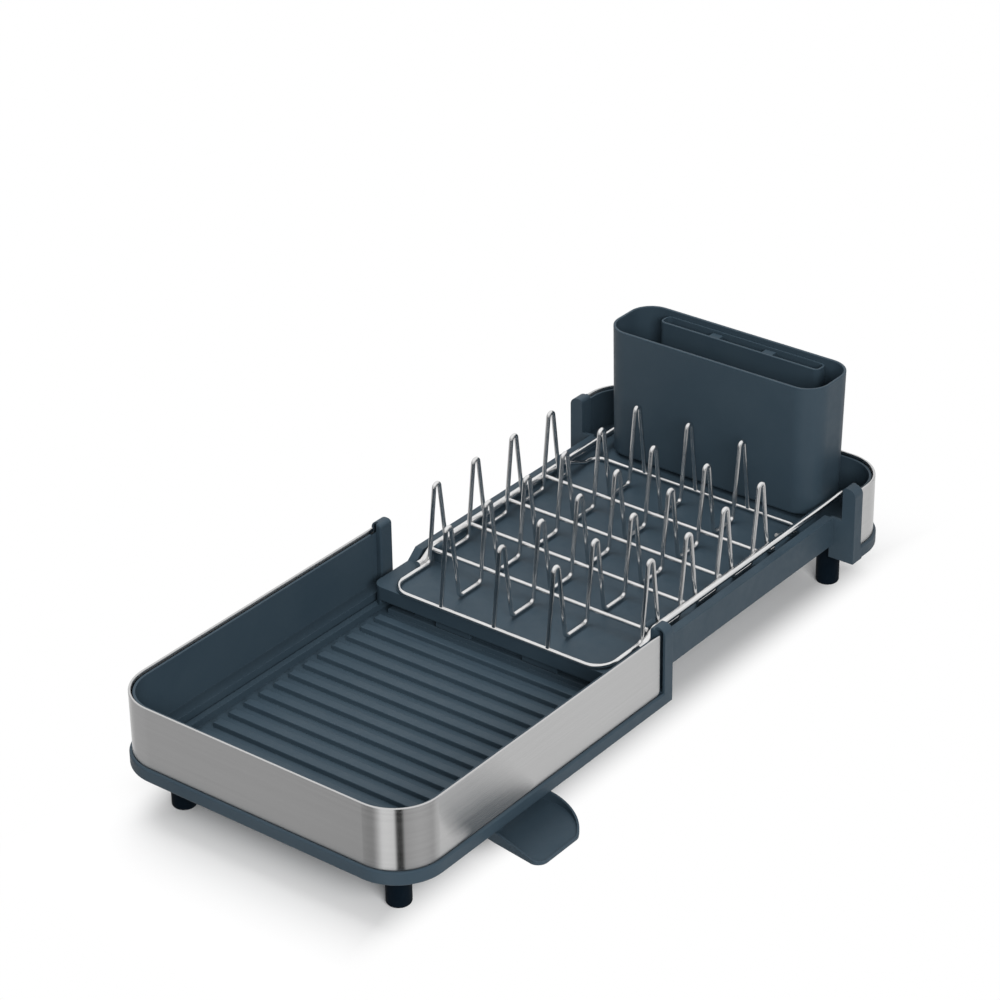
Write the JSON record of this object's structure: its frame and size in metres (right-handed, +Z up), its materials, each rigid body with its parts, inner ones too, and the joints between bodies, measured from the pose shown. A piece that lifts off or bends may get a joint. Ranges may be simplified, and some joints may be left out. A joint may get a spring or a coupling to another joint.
{
  "type": "expandable dish rack",
  "caption": "Expandable dish rack: ribbed draining tray with a swing-out spout, and a sliding rear tray with a wire plate rack and a cutlery holder.",
  "frame": {"origin": "middle of the overall base at worktop level, with the rack pulled out and the spout swung out", "axes": "+X along the rack from the draining tray to the cutlery holder, +Y across it away from the drain spout, +Z up"},
  "size_m": [0.565, 0.2912, 0.165],
  "materials": {
    "plastic": "fine matt moulding",
    "steel": "brushed",
    "wire": "polished wire",
    "screw": "plain",
    "rubber": "matt"
  },
  "bodies": {
    "front_section": {"front_tray": "plastic", "front_band": "steel", "foot_front_left": "rubber", "foot_front_right": "rubber", "spout_screw": "screw"},
    "rear_section": {"rear_tray": "plastic", "rear_band": "steel", "foot_rear_left": "rubber", "foot_rear_right": "rubber"},
    "drain_spout": {"drain_spout": "plastic"},
    "wire_rack": {"rack_front_loop": "wire", "rack_rail_left": "wire", "rack_rail_right": "wire", "rack_back_wire": "wire", "cross_wire_1": "wire", "cross_wire_2": "wire", "cross_wire_3": "wire", "cross_wire_4": "wire", "prong_row_1": "wire", "prong_row_2": "wire", "prong_row_3": "wire", "prong_row_4": "wire", "prong_row_5": "wire"},
    "cutlery_holder": {"cutlery_holder": "plastic"},
    "knife_sleeve": {"knife_sleeve": "plastic"}
  },
  "joints": [
    {"name": "rear_slide", "type": "slide", "parent": "front_section", "child": "rear_section", "axis": [1, 0, 0], "range_m": [-0.2257, 0]},
    {"name": "spout_swing", "type": "hinge", "parent": "front_section", "child": "drain_spout", "pos_m": [-0.1795, -0.0924, 0.03], "axis": [0, 0, 1], "range_deg": [0, 100]},
    {"name": "wire_rack_lift", "type": "slide", "parent": "rear_section", "child": "wire_rack", "axis": [0, 0, 1], "range_m": [0, 0.12]},
    {"name": "cutlery_holder_lift", "type": "slide", "parent": "rear_section", "child": "cutlery_holder", "axis": [0, 0, 1], "range_m": [0, 0.12]},
    {"name": "knife_sleeve_lift", "type": "slide", "parent": "cutlery_holder", "child": "knife_sleeve", "axis": [0, 0, 1], "range_m": [0, 0.11]}
  ]
}
